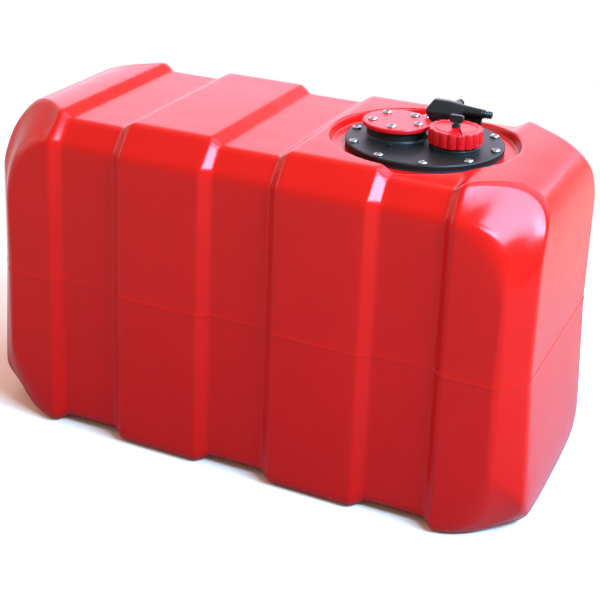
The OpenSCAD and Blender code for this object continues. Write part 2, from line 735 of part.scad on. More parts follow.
// A barbed hose tail along +Z: its plain seat is below 0 and its barbs stand above
module hose_tail() {
    seat = tail_seat - fit_gap;
    collar = 1.6;
    low = tail_radius - 0.9;
    barb = (tail_length - collar) / 3;   // each of the three barbs has a short land at full size
    difference() {
        rotate_extrude($fn = 40) polygon(concat([[0, -7.5], [seat, -7.5], [seat, 0],
            [arm_end, 0], [arm_end, collar - 0.4], [arm_end - 0.4, collar]],
            [for (i = [0:2]) each [[low, collar + barb * i], [low, collar + barb * (i + 0.2)],
                [tail_radius, collar + barb * (i + 0.25)], [tail_radius, collar + barb * (i + 0.45)],
                [low + 0.05, collar + barb * (i + 0.98)]]],
            [[low, tail_length], [0, tail_length]]));
        translate([0, 0, -8]) cylinder(h = tail_length + 9, r = tail_bore, $fn = 32);
    }
}

module feed_hose_tail() {
    color("#1E2023") translate([arm_end_x, pickup_back, tail_axis]) rotate([0, 90, 0]) hose_tail();
}

module return_hose_tail() {
    color("#1E2023") translate([rear_tail_x, rear_stub_y + 1, rear_axis]) rotate([-90, 0, 0])
        hose_tail();
}

module lock_nut() {
    color("#2B2D30") at_pickup() difference() {
        translate([0, 0, flange_bottom - nut_thick])
            cylinder(h = nut_thick, r = nut_flats / 2 / cos(30), $fn = 6);
        translate([0, 0, flange_bottom - nut_thick - small])
            cylinder(h = nut_thick + 2 * small, r = stem_radius + fit_gap, $fn = 48);
    }
}

module suction_tube() {
    color("#3A3C3F") at_pickup() tube(tube_bottom, stem_end - 0.5, tube_radius, tube_radius - tube_wall);
}

// The strainer: a caged cup pushed on the foot of the suction tube
module strainer() {
    shell = 1.2;
    rib_count = 8;
    window = 0.72;
    color("#D9D6C8") at_pickup() difference() {
        translate([0, 0, strainer_bottom])
            cylinder(h = strainer_height, r = strainer_radius, $fn = 48);
        translate([0, 0, strainer_bottom + 2])
            cylinder(h = strainer_height - 5, r = strainer_radius - shell, $fn = 48);
        translate([0, 0, strainer_bottom + 3])
            cylinder(h = strainer_height, r = tube_radius + fit_gap, $fn = 48);
        for (i = [0:rib_count - 1]) rotate(360 / rib_count * i)
            translate([strainer_radius - shell - 1, -strainer_radius * sin(180 / rib_count) * window,
                strainer_bottom + 4])
                cube([shell + 3, 2 * strainer_radius * sin(180 / rib_count) * window,
                    strainer_height - 12]);
    }
}

tank_body();
backing_ring();
flange_gasket();
fittings_flange();
flange_screws();
thread_inserts();
cover_gasket();
sender_cover();
cover_screws();
cap_seal();
filler_cap();
vent_seal();
vent_screw();
vent_clip();
head_seal();
pickup_head();
feed_hose_tail();
return_hose_tail();
lock_nut();
suction_tube();
strainer();
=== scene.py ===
import math

import bmesh
import bpy
from mathutils import Matrix, Vector


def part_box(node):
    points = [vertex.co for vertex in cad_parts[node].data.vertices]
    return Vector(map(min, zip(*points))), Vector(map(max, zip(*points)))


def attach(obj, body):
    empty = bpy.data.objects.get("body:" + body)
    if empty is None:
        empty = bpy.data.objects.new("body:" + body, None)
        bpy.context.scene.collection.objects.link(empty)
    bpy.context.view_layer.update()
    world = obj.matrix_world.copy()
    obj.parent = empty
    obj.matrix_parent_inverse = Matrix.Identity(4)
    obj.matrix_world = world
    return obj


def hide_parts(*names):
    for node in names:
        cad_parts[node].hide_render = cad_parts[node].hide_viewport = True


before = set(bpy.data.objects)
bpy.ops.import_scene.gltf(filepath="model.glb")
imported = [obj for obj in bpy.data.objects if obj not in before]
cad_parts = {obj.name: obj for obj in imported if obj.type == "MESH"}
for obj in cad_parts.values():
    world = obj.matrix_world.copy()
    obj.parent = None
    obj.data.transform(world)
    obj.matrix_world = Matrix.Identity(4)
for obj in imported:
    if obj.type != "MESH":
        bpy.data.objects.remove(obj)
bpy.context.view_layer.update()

scene = bpy.context.scene
mm = 0.001


# small helpers

def toLinear(colour):  # "#RRGGBB" as written in a paint program, to scene linear
    parts = [int(colour[i:i + 2], 16) / 255 for i in (1, 3, 5)]
    return [c / 12.92 if c <= 0.04045 else ((c + 0.055) / 1.055) ** 2.4 for c in parts] + [1.0]


def addNode(tree, kind, links=None, inputs=None, **settings):
    node = tree.nodes.new(kind)
    for name, value in settings.items():
        setattr(node, name, value)
    for key, value in (inputs or {}).items():
        node.inputs[key].default_value = value
    for key, source in (links or {}).items():
        tree.links.new(source, node.inputs[key])
    return node


def mix(a, b, t):
    return a + (b - a) * t


def toObject(name, bm):  # ends a bmesh as an object of the scene
    mesh = bpy.data.meshes.new(name)
    bm.to_mesh(mesh)
    bm.free()
    made = bpy.data.objects.new(name, mesh)
    scene.collection.objects.link(made)
    return made


def makePiece(name, bm, body, material, shadeAngle, replaces=()):
    bmesh.ops.recalc_face_normals(bm, faces=bm.faces)
    piece = toObject(name, bm)
    piece.data.materials.append(material)
    piece.data.shade_smooth()
    piece.data.set_sharp_from_angle(angle=math.radians(shadeAngle))
    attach(piece, body)
    if replaces:
        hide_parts(*replaces)
    return piece


def applyModifiers(piece):
    bpy.context.view_layer.update()
    shaped = bpy.data.meshes.new_from_object(piece.evaluated_get(bpy.context.evaluated_depsgraph_get()))
    piece.modifiers.clear()
    piece.data = shaped
    return piece


def subtract(piece, bm):  # cuts a closed shape out of a piece
    bmesh.ops.recalc_face_normals(bm, faces=bm.faces)
    cutter = toObject("cutter", bm)
    cut = piece.modifiers.new("Cut", "BOOLEAN")
    cut.operation = "DIFFERENCE"
    cut.solver = "EXACT"
    cut.object = cutter
    applyModifiers(piece)
    bpy.data.objects.remove(cutter)


def layGrid(bm, columns):  # a grid sheet whose vertices are moved to the given columns of points
    wide, high = len(columns), len(columns[0])
    sheet = bmesh.ops.create_grid(bm, x_segments=wide - 1, y_segments=high - 1, size=1)["verts"]
    for vert in sheet:
        i = round((vert.co.x + 1) / 2 * (wide - 1))
        j = round((vert.co.y + 1) / 2 * (high - 1))
        vert.co = columns[i][j]


def nodeBox(node):  # middle x and y, lowest and highest z, in mm
    low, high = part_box(node)
    return (low[0] + high[0]) / 2 / mm, (low[1] + high[1]) / 2 / mm, low[2] / mm, high[2] / mm


# finishes, with their scales in mm

grainRange = (0.3, 0.7)  # where most of a noise's values lie
grainGloss = (0.94, 1.06)  # roughness in and on the grain of a moulded face, as shares of its mean
lineGloss = (0.7, 1.4)  # roughness on and between the lines of a metal
blotchEdge = 0.6  # how ragged a blotch is


def newMaterial(name, **settings):
    material = bpy.data.materials.new(name)
    material.use_nodes = True
    tree = material.node_tree
    shader = tree.nodes["Principled BSDF"]
    for key, value in settings.items():
        shader.inputs[key].default_value = value
    return material, tree, shader


def noise(tree, place, scale, detail):  # a pattern whose lumps are about so many mm across
    return addNode(tree, "ShaderNodeTexNoise", {"Vector": place},
                   {"Scale": 1 / (scale * mm), "Detail": detail})


def moulded(name, dark, light, rough, blotch, grain, bumpDeep, wave=None, waveDeep=0, specular=0.5):
    # a moulded plastic or rubber: two near shades in soft blotches, a fine grain,
    # and slow waves where the wall has sunk
    material, tree, shader = newMaterial(name, **{"Specular IOR Level": specular})
    place = addNode(tree, "ShaderNodeTexCoord").outputs["Object"]
    clouds = noise(tree, place, blotch, 3)
    clouds.inputs["Roughness"].default_value = blotchEdge
    colours = addNode(tree, "ShaderNodeMix", {0: clouds.outputs["Fac"]},
                      {6: toLinear(dark), 7: toLinear(light)}, data_type="RGBA")
    tree.links.new(colours.outputs[2], shader.inputs["Base Color"])
    fine = noise(tree, place, grain, 2)
    gloss = addNode(tree, "ShaderNodeMapRange", {"Value": fine.outputs["Fac"]},
                    {"From Min": grainRange[0], "From Max": grainRange[1],
                     "To Min": rough * grainGloss[0], "To Max": rough * grainGloss[1]})
    tree.links.new(gloss.outputs["Result"], shader.inputs["Roughness"])
    bump = addNode(tree, "ShaderNodeBump", {"Height": fine.outputs["Fac"]},
                   {"Strength": 1.0, "Distance": bumpDeep * mm})
    if wave:
        slow = noise(tree, place, wave, 1)
        bump = addNode(tree, "ShaderNodeBump",
                       {"Height": slow.outputs["Fac"], "Normal": bump.outputs["Normal"]},
                       {"Strength": 1.0, "Distance": waveDeep * mm})
    tree.links.new(bump.outputs["Normal"], shader.inputs["Normal"])
    return material


def metal(name, colour, rough, lines, stretch, lineDeep=0.02):
    # bright metal with fine lines from its making, drawn out along the axes that stretch leaves at 1
    material, tree, shader = newMaterial(name, **{"Metallic": 1.0, "Base Color": toLinear(colour)})
    place = addNode(tree, "ShaderNodeTexCoord").outputs["Object"]
    stretched = addNode(tree, "ShaderNodeMapping", {"Vector": place}, {"Scale": stretch})
    streaks = noise(tree, stretched.outputs["Vector"], lines, 2)
    gloss = addNode(tree, "ShaderNodeMapRange", {"Value": streaks.outputs["Fac"]},
                    {"To Min": rough * lineGloss[0], "To Max": rough * lineGloss[1]})
    tree.links.new(gloss.outputs["Result"], shader.inputs["Roughness"])
    bump = addNode(tree, "ShaderNodeBump", {"Height": streaks.outputs["Fac"]},
                   {"Strength": 1.0, "Distance": lineDeep * mm})
    tree.links.new(bump.outputs["Normal"], shader.inputs["Normal"])
    return material


# blow-moulded polyethylene, satin: broad soft highlights, faintly rippled where the wall cooled;
# its 1 mm grain is drawn at 2.5 mm to show
redPolyethylene = moulded("redPolyethylene", "#C60A04", "#D00D06", rough=0.21, blotch=45, grain=2.5,
                          bumpDeep=0.003, wave=55, waveDeep=0.7, specular=0.18)
# injection-moulded polypropylene, glossy: tighter highlights on the cap and the sender cover
redPolypropylene = moulded("redPolypropylene", "#C90D12", "#D01117", rough=0.24, blotch=12, grain=1.2,
                           bumpDeep=0.006, specular=0.28)
# glass-filled nylon, satin and very dark grey: the flange
blackNylon = moulded("blackNylon", "#14100E", "#1A1513", rough=0.4, blotch=14, grain=1.0,
                     bumpDeep=0.012, specular=0.22)
# unfilled black acetal, a little glossier: pick-up head, tails and vent screw
blackAcetal = moulded("blackAcetal", "#0F0D0C", "#151211", rough=0.24, blotch=9, grain=0.8,
                      bumpDeep=0.006, specular=0.32)
# moulded nitrile rubber, matt and near black: gaskets and seals
nitrileRubber = moulded("nitrileRubber", "#141516", "#1B1C1E", rough=0.75, blotch=6, grain=0.6,
                        bumpDeep=0.02, specular=0.35)
# drawn polyamide tube, satin grey, and a cage moulded in natural nylon, cream: inside the tank
greyPolyamide = moulded("greyPolyamide", "#3C3E40", "#48494B", rough=0.4, blotch=10, grain=0.8,
                        bumpDeep=0.01)
naturalNylon = moulded("naturalNylon", "#D8D2BE", "#E2DDCB", rough=0.45, blotch=8, grain=0.6,
                       bumpDeep=0.01)
# stainless steel screws, tumbled bright: sharp glints, with fine rings from the header's die
stainlessSteel = metal("stainlessSteel", "#A9ABAC", rough=0.16, lines=0.5, stretch=(1, 1, 6))
# rolled sheet, duller, with lines along the sheet: the backing ring
rolledSteel = metal("rolledSteel", "#B9BCBF", rough=0.32, lines=1.5, stretch=(1, 8, 1))
# brass turned from bar, yellow, with rings from the tool: the inserts
turnedBrass = metal("turnedBrass", "#C79A4B", rough=0.28, lines=0.5, stretch=(1, 1, 6))


# tank shell, blow-moulded in one piece, drawn in mm

shell = {
    "length": 650, "width": 300, "height": 392, "wall": 5, "parting": 190,
    # seen from the front, each corner of the outline runs this far along the tank, as a squarish curve,
    # and nothing else starts closer to it than its clearance
    "cornerLong": 81, "outlinePower": 0.6, "cornerGap": 1,
    # how tall a corner is on the outline and on the face's crease, how square the crease is there,
    # and how far down and in the chamfer of the long edge reaches
    "top": {"corner": 70, "faceCorner": 80, "facePower": 0.9, "chamferDown": 32.5, "chamferIn": 27.5},
    "bottom": {"corner": 44, "faceCorner": 82, "facePower": 1.05, "chamferDown": 9, "chamferIn": 9},
    "endChamferLong": 26, "endChamferIn": 32,
    # the flat that cuts each top corner off: its direction and its distance from the middle of the base
    "facet": (0.455, 0.61, 0.648, 436.4), "facetBlend": 6,
    # the bottom corners swell: the chamfer widens late, its middle stands proud and its edges soften
    "bottomLate": 2.2, "bottomSwell": 22, "bottomProud": 8, "bottomSoft": 8,
    # below the parting line the ends lean out, in full from the flare's height down, and less at the chamfer
    "endFlare": 9, "edgeFlare": 6, "flareHeight": 80, "flareFade": 22,
    "recessPitch": 193.6, "recessFloor": 68, "recessSlope": 13, "recessTop": 9.2, "recessSide": 10,
    "recessUnder": 6, "recessChamferIn": 30.5, "recessChamferDown": 35,
    # across the top the recess by the flange fades out between these distances from the middle
    "notchStart": 96, "notchEnd": 110, "notchEndGap": 2, "notchStartGap": 8,
    # how far each crease is cut back, so that smoothing rounds it
    "creaseSoft": 4, "arcSoft": 9, "edgeSoft": 3.2, "cornerSoft": 5,
    # the bead on the parting line, and how far the next rows keep clear of it and of the corners
    "beadHigh": 1.25, "beadHalf": 1.6, "beadClear": 9, "cornerClear": 12, "creaseClear": 8,
    # over a recess's slope: share of the way down it, and depth there as a share of the full one
    "slopeSteps": [(-0.75, 0), (-0.12, 0), (0.14, 0.1), (0.86, 0.9), (1.12, 1), (1.75, 1)],
    "turns": [3, 12, 23, 34, 45, 56, 67, 78, 90],  # degrees round a corner
    "smoothing": 2, "weld": 0.01,
}


def edgeSample(place, crease, reach, soft, outerSoft, sink=0.0, midSink=0.0, face=0.0):
    # one place on the outline seen from the front, with the chamfer and recess there
    place = Vector(place)
    gap = place - Vector(crease)
    return {"place": place, "toOutline": gap.normalized(), "down": gap.length, "reach": reach,
            "soft": soft, "outerSoft": outerSoft, "sink": sink, "midSink": midSink, "face": face}


def recessStations():
    # each place along the tank where a recess starts, slopes or ends, with its depth there,
    # and 1 where it crosses the middle of the top
    stations = []
    for middle in (-shell["recessPitch"], 0, shell["recessPitch"]):
        for side in (-1, 1):
            for step, depth in shell["slopeSteps"][::-side]:
                x = middle + side * (shell["recessFloor"] / 2 + shell["recessSlope"] * (1 - step))
                if abs(x) < shell["length"] / 2 - shell["cornerLong"] - shell["cornerGap"]:
                    stations.append((x, depth, 0 if middle > 0 else 1))
    return stations


def topSample(x, depth, across):
    down = mix(shell["top"]["chamferDown"], shell["recessChamferDown"], depth)
    reach = mix(shell["top"]["chamferIn"], shell["recessChamferIn"], depth)
    sink = shell["recessTop"] * depth
    return edgeSample((x, shell["height"]), (x, shell["height"] - down), reach, shell["creaseSoft"],
                      shell["edgeSoft"], sink, sink * across, shell["recessSide"] * depth)


def bottomSample(x, depth):
    sink, face = shell["recessUnder"] * depth, shell["recessSide"] * depth
    edge = shell["bottom"]
    return edgeSample((x, 0), (x, edge["chamferDown"] + sink), edge["chamferIn"] + face, shell["edgeSoft"],
                      shell["edgeSoft"], sink, sink, face)


def squarish(long, tall, sine, cosine, power):  # a point on a quarter round: its way along, and up or down
    return long * sine ** power, tall * (1 - cosine ** power)


def cornerSamples(side, top):
    # round one corner of the outline, from the long edge to the end
    edge = shell["top" if top else "bottom"]
    level, up = (shell["height"], -1) if top else (0, 1)
    start = shell["length"] / 2 - shell["cornerLong"]
    samples = []
    for turn in shell["turns"]:
        sine, cosine = math.sin(math.radians(turn)), max(math.cos(math.radians(turn)), 0)
        swell = (sine + cosine - 1) / (math.sqrt(2) - 1)  # 0 at both ends of the corner, 1 in its middle
        along, rise = squarish(shell["cornerLong"], edge["corner"], sine, cosine, shell["outlinePower"])
        creaseAlong, creaseRise = squarish(shell["cornerLong"] - shell["endChamferLong"], edge["faceCorner"],
                                           sine, cosine, edge["facePower"])
        late = turn / 90 if top else sine ** shell["bottomLate"]
        reach = mix(edge["chamferIn"], shell["endChamferIn"], late)
        if top:  # a flat face cuts the corner off, and the chamfer widens to meet it
            facetX, facetY, facetZ, distance = shell["facet"]
            inside = facetX * (start + along) + facetZ * (level - rise) - distance
            flat = shell["width"] / 2 + inside / facetY
            reach = (reach + flat + math.hypot(reach - flat, shell["facetBlend"])) / 2
            midSink = 0
            soft = mix(shell["creaseSoft"], shell["arcSoft"], swell)
            outerSoft = mix(shell["edgeSoft"], shell["cornerSoft"], swell ** 2)
        else:
            reach += shell["bottomSwell"] * swell
            midSink = -shell["bottomProud"] * swell ** 2
            soft = shell["creaseSoft"] + shell["bottomSoft"] * swell
            outerSoft = shell["edgeSoft"] + shell["bottomSoft"] * swell
        place = (side * (start + along), level + up * rise)
        crease = (side * (start + creaseAlong), level + up * (edge["chamferDown"] + creaseRise))
        samples.append(edgeSample(place, crease, reach, soft, outerSoft, midSink=midSink))
    return samples


def endSamples(side):
    # down one end between its corners, with the bead that the mould leaves on the parting line
    half, parting = shell["length"] / 2, shell["parting"]
    top, bottom = shell["top"], shell["bottom"]
    beadSteps = ((shell["beadClear"], 0), (shell["beadHalf"], 0), (0, shell["beadHigh"]),
                 (-shell["beadHalf"], 0), (-shell["beadClear"], 0))
    rows = [(parting + step, parting + step, raised) for step, raised in beadSteps]
    rows.insert(0, (shell["height"] - top["corner"] - shell["cornerClear"],
                    shell["height"] - top["chamferDown"] - top["faceCorner"] - shell["creaseClear"], 0))
    rows.append((bottom["corner"] + shell["cornerClear"],
                 bottom["chamferDown"] + bottom["faceCorner"] + shell["creaseClear"], 0))
    return [edgeSample((side * half, place), (side * (half - shell["endChamferLong"]), crease),
                       shell["endChamferIn"], shell["creaseSoft"], shell["edgeSoft"],
                       -raised, -raised, -raised)
            for place, crease, raised in rows]


def chamferLine(face, lower, upper, top, lowerSoft, upperSoft):
    # six points along a chamfer: its two edges are cut short, and the four between them keep it flat
    way = (upper - lower).normalized()
    flat = ((upper - lower).length - lowerSoft - upperSoft) / 3
    return [lower + (face - lower).normalized() * lowerSoft, lower + way * lowerSoft,
            lower + way * (lowerSoft + min(lowerSoft, flat)),
            upper - way * (upperSoft + min(upperSoft, flat)),
            upper - way * upperSoft, upper + (top - upper).normalized() * upperSoft]


def lean(x, z, away):  # how far the end stands out at a place
    low = min(1, max(0, shell["parting"] - z) / (shell["parting"] - shell["flareHeight"]))
    far = min(1, max(0, abs(x) - shell["length"] / 2 + shell["endChamferLong"]) / shell["endChamferLong"])
    edge = min(1, max(0, away - shell["notchStart"]) / shell["flareFade"])
    return mix(shell["endFlare"], shell["edgeFlare"], edge) * low * far


def shellProfile(sample):
    # from the front face over the chamfer to the back face: each point as x, y, z
    halfWide, soft, outerSoft = shell["width"] / 2, sample["soft"], sample["outerSoft"]
    onFace = Vector((sample["down"], halfWide - sample["face"]))
    onTop = Vector((sample["sink"], halfWide - sample["reach"]))
    half = chamferLine(onFace + Vector((1, 0)), onFace, onTop, Vector((onTop[0], 0)), soft, outerSoft)
    inside = onTop[1] - outerSoft
    half.append(Vector((sample["sink"], min(shell["notchEnd"], inside - shell["notchEndGap"]))))
    half.append(Vector((sample["midSink"], min(shell["notchStart"], inside - shell["notchStartGap"]))))
    points = []
    for side, row in ((-1, half), (1, half[::-1])):
        for depth, away in row:
            x, z = sample["place"] - sample["toOutline"] * depth
            points.append(Vector((x + math.copysign(lean(x, z, away), x), side * away, max(z, 0))))
    return points


def faceColumns(front, upper, lower, ends):
    # the front or the back face: for each place along the tank a column of points from top to bottom,
    # whose rows meet those of the ends
    pick, outward = (0, -1) if front else (-1, 1)
    start = shell["length"] / 2 - shell["cornerLong"]
    columns = []
    for top, low in zip(upper, lower):
        above, below = shellProfile(top)[pick], shellProfile(low)[pick]
        side = math.copysign(1, above.x)
        last = 0 if side < 0 else -1
        lastAbove, lastBelow = shellProfile(upper[last])[pick], shellProfile(lower[last])[pick]
        column = [above]
        for r, sample in enumerate(ends[side]):
            end = shellProfile(sample)[pick]
            z = end.z
            late = max(0, abs(above.x) - start) / (abs(end.x) - start)
            if r == 0:
                z = mix(above.z - shell["creaseClear"], z, late)
            if r == len(ends[side]) - 1:
                z = mix(below.z + shell["creaseClear"], z, late)
            t = (above.z - z) / (above.z - below.z)
            x = mix(above.x, below.x, t)
            drawn = (abs(end.x) - start) / (abs(mix(lastAbove.x, lastBelow.x, t)) - start)
            x += side * max(0, abs(x) - start) * (drawn - 1)
            y = mix(above.y, below.y, t) - sample["sink"] * outward
            column.append(Vector((x, y, z)))
        column.append(below)
        columns.append(column)
    for side, column in ((-1, columns[0]), (1, columns[-1])):
        column[1:-1] = [shellProfile(sample)[pick] for sample in ends[side]]
    return columns


def shellSkin():
    # the whole outside as one closed sheet: a ring of profiles round the outline, and the two faces in it
    upper = [topSample(*station) for station in recessStations()]
    upper = cornerSamples(-1, True)[::-1] + upper + cornerSamples(1, True)
    lower = [bottomSample(x, depth) for x, depth, across in recessStations()]
    lower = cornerSamples(-1, False)[::-1] + lower + cornerSamples(1, False)
    ends = {side: endSamples(side) for side in (-1, 1)}
    profiles = [shellProfile(sample) for sample in upper + ends[1] + lower[::-1] + ends[-1][::-1]]
    bm = bmesh.new()
    layGrid(bm, profiles + profiles[:1])
    for front in (True, False):
        layGrid(bm, faceColumns(front, upper, lower, ends))
    bmesh.ops.remove_doubles(bm, verts=bm.verts, dist=shell["weld"])
    bmesh.ops.scale(bm, vec=Vector((mm, mm, mm)), verts=bm.verts)
    bmesh.ops.recalc_face_normals(bm, faces=bm.faces)
    body = toObject("tankShell", bm)
    smooth = body.modifiers.new("Subdivision", "SUBSURF")
    smooth.levels = smooth.render_levels = shell["smoothing"]
    return applyModifiers(body)


pocket = {
    "x": 156, "cutRadius": 108.4, "cutLow": 370, "cutHigh": 430, "cutSides": 240, "cutSlack": 0.03,
    "floor": 381, "weld": 0.02,
    # radius and share of the way down to the floor: over the rounded rim, down the wall and the fillet
    # at its foot, and across the floor to the opening under the flange
    "steps": [(107.4, 0.004), (106.4, 0.03), (105.5, 0.09), (104.9, 0.2), (104.5, 0.34), (103.6, 0.66),
              (103.2, 0.8), (102.6, 0.91), (101.6, 0.975), (100.2, 1), (86, 1), (70, 1)],
}


def cutPocket(body):
    # the flange pocket is cut as a plain round hole, and its rim, wall and floor are drawn in from its edge
    low, high, radius = pocket["cutLow"], pocket["cutHigh"], pocket["cutRadius"] * mm
    hole = bmesh.new()
    bmesh.ops.create_cone(hole, cap_ends=True, segments=pocket["cutSides"], radius1=radius, radius2=radius,
                          depth=(high - low) * mm,
                          matrix=Matrix.Translation(Vector((pocket["x"], 0, (low + high) / 2)) * mm))
    subtract(body, hole)
    bm = bmesh.new()
    bm.from_mesh(body.data)
    bmesh.ops.remove_doubles(bm, verts=bm.verts, dist=pocket["weld"] * mm)
    middle = Vector((pocket["x"] * mm, 0))

    def inHole(vert):
        slack = pocket["cutSlack"] * mm
        return (vert.co.xy - middle).length < radius + slack and vert.co.z > low * mm - slack
    pit = [face for face in bm.faces if all(inHole(vert) for vert in face.verts)]
    bmesh.ops.delete(bm, geom=pit, context="FACES")
    loop = [edge for edge in bm.edges if edge.is_boundary]
    startHeight = bm.verts.layers.float.new("startHeight")
    for vert in {vert for edge in loop for vert in edge.verts}:
        vert[startHeight] = vert.co.z
    for away, share in pocket["steps"]:
        made = bmesh.ops.extrude_edge_only(bm, edges=loop)["geom"]
        for vert in [item for item in made if isinstance(item, bmesh.types.BMVert)]:
            out = (vert.co.xy - middle).normalized() * away * mm
            height = mix(vert[startHeight], pocket["floor"] * mm, share)
            vert.co = (middle.x + out.x, middle.y + out.y, height)
        loop = [item for item in made if isinstance(item, bmesh.types.BMEdge) and item.is_boundary]
    bm.verts.layers.float.remove(startHeight)
    bm.to_mesh(body.data)
    bm.free()


def buildShell():
    body = shellSkin()
    cutPocket(body)
    skin = body.modifiers.new("Wall", "SOLIDIFY")
    skin.thickness = shell["wall"] * mm
    skin.offset = -1
    skin.use_rim = True
    applyModifiers(body)
    body.data.materials.clear()
    body.data.materials.append(redPolyethylene)
    body.data.shade_smooth()
    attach(body, "tank")
    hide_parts("tank_body")
    print("tank shell:", len(body.data.polygons), "faces")


buildShell()


# profiles of the turned fittings

def filleted(corners, steps=4):  # corners as radius, height and fillet; each fillet becomes a short arc
    points = []
    for i, (radius, height, fillet) in enumerate(corners):
        here = Vector((radius, height))
        if not fillet:
            points.append(here)
            continue
        before = (Vector(corners[i - 1][:2]) - here).normalized()
        after = (Vector(corners[(i + 1) % len(corners)][:2]) - here).normalized()
        half = before.angle(after) / 2
        centre = here + (before + after).normalized() * fillet / math.sin(half)
        start, end = [here + way * fillet / math.tan(half) - centre for way in (before, after)]
        points += [centre + start.lerp(end, k / steps).normalized() * fillet for k in range(steps + 1)]
    return points


def turned(bm, points, steps, weld):  # spins a profile of radius and height round Z
    verts = [bm.verts.new((point[0] * mm, 0, point[1] * mm)) for point in points]
    edges = [bm.edges.new(pair) for pair in zip(verts, verts[1:])]
    bmesh.ops.spin(bm, geom=verts + edges, axis=(0, 0, 1), cent=(0, 0, 0), angle=math.tau, steps=steps,
                   use_merge=True)
    bmesh.ops.remove_doubles(bm, verts=bm.verts, dist=weld * mm)


# pan head screws with a cross recess, whose cutter is given as length and width at its foot and its top

screw = {
    "head": 5.2, "high": 2.9, "wall": 1.1, "shank": 2.5, "underRound": 0.3,
    "sides": 36, "domeStep": 10, "weld": 0.004, "shadeAngle": 38,
    "crossFoot": (3.41, 1.19), "crossTop": (6.51, 1.955), "crossDeep": 2.2, "crossPast": 0.5,
    "solidHead": 3,  # how high the solid's own head is, which stands on the same seat
    "stop": 2.4,  # each screw is stopped this much further round than the last, in radians
}
screwRings = (  # the first screw's place in degrees, and the turn it is stopped at in radians
    {"name": "flangeScrews", "node": "flange_screws", "around": "fittings_flange",
     "count": 10, "circle": 80.5, "start": 0, "firstStop": 0},
    {"name": "coverScrews", "node": "cover_screws", "around": "sender_cover",
     "count": 5, "circle": 27, "start": -10, "firstStop": -10},
)


def screwMesh(length):  # its bearing face at z 0
    head, high, wall = screw["head"], screw["high"], screw["wall"]
    turns = [math.radians(degrees) for degrees in range(0, 91, screw["domeStep"])]
    dome = [(head * math.cos(turn), wall + (high - wall) * math.sin(turn)) for turn in turns]
    under = filleted([(screw["shank"], 0, 0), (head, 0, screw["underRound"]), (head, wall, 0)])
    shank = [(0, -length), (screw["shank"], -length), (screw["shank"], 0)]
    bm = bmesh.new()
    turned(bm, shank + under[1:-1] + dome, screw["sides"], screw["weld"])
    bmesh.ops.recalc_face_normals(bm, faces=bm.faces)
    piece = toObject("screwTemplate", bm)
    for turn in (0, 90):
        bm = bmesh.new()
        bmesh.ops.create_cube(bm, size=1)
        for vert in bm.verts:
            low = vert.co.z < 0
            long, wide = screw["crossFoot"] if low else screw["crossTop"]
            vert.co.x *= long * mm
            vert.co.y *= wide * mm
            vert.co.z = (high - screw["crossDeep"] if low else high + screw["crossPast"]) * mm
        bmesh.ops.rotate(bm, verts=bm.verts, matrix=Matrix.Rotation(math.radians(turn), 3, "Z"))
        subtract(piece, bm)
    shaped = piece.data
    bpy.data.objects.remove(piece)
    return shaped


def screwRing(ring):
    # every screw of one ring in a mesh, each stopped at its own turn
    x, y = nodeBox(ring["around"])[:2]
    low, high = nodeBox(ring["node"])[2:]
    seat = high - screw["solidHead"]
    template = screwMesh(seat - low)
    bm = bmesh.new()
    for i in range(ring["count"]):
        before = len(bm.verts)
        bm.from_mesh(template)
        bm.verts.ensure_lookup_table()
        angle = math.radians(ring["start"] + 360 / ring["count"] * i)
        place = Vector((x + ring["circle"] * math.cos(angle), y + ring["circle"] * math.sin(angle), seat))
        stopped = Matrix.Rotation(ring["firstStop"] + i * screw["stop"], 4, "Z")
        bmesh.ops.transform(bm, matrix=Matrix.Translation(place * mm) @ stopped, verts=bm.verts[before:])
    piece = makePiece(ring["name"], bm, "tank", stainlessSteel, screw["shadeAngle"], [ring["node"]])


for ring in screwRings:
    screwRing(ring)
print("screws turned and placed")


# filler cap: fluted rim, ring groove in the top and a slot on each side of the vent screw

cap = {
    "radius": 29.6, "inner": 25.6, "topThick": 3.5, "stemHole": 3.55,
    "innerRound": 0.8, "mouthRound": 0.4, "footRound": 0.6, "rimRound": 1.3, "stemRound": 0.3,
    # the flutes fade out towards the inside between the two fade radii
    "flutes": 18, "flute": 2.1, "lobePower": 0.62, "stepsPerFlute": 14,
    "fadeInner": 26.2, "fadeOuter": 28.2,
    "groove": 23, "grooveHalf": 0.7, "grooveDeep": 0.9, "grooveSlope": 0.1,
    "lipRound": 0.4, "grooveRound": 0.3,
    "hub": 6.5, "slot": 8, "slotDeep": 2.2, "slotRound": 0.8, "slotSteps": 4, "slotTurn": -66, "slotPast": 1,
    "weld": 0.003, "shadeAngle": 42,
}


def capProfile(skirt, top):  # round the wall, from the stem hole's lower edge to its upper one
    under, bottom = top - cap["topThick"], top - cap["grooveDeep"]
    outer, inner = cap["groove"] + cap["grooveHalf"], cap["groove"] - cap["grooveHalf"]
    return filleted([
        (cap["stemHole"], under, 0), (cap["inner"], under, cap["innerRound"]),
        (cap["inner"], skirt, cap["mouthRound"]),
        (cap["radius"], skirt, cap["footRound"]), (cap["radius"], top, cap["rimRound"]),
        (outer + cap["grooveSlope"], top, cap["lipRound"]), (outer, bottom, cap["grooveRound"]),
        (inner, bottom, cap["grooveRound"]), (inner - cap["grooveSlope"], top, cap["lipRound"]),
        (cap["stemHole"], top, cap["stemRound"]),
    ])


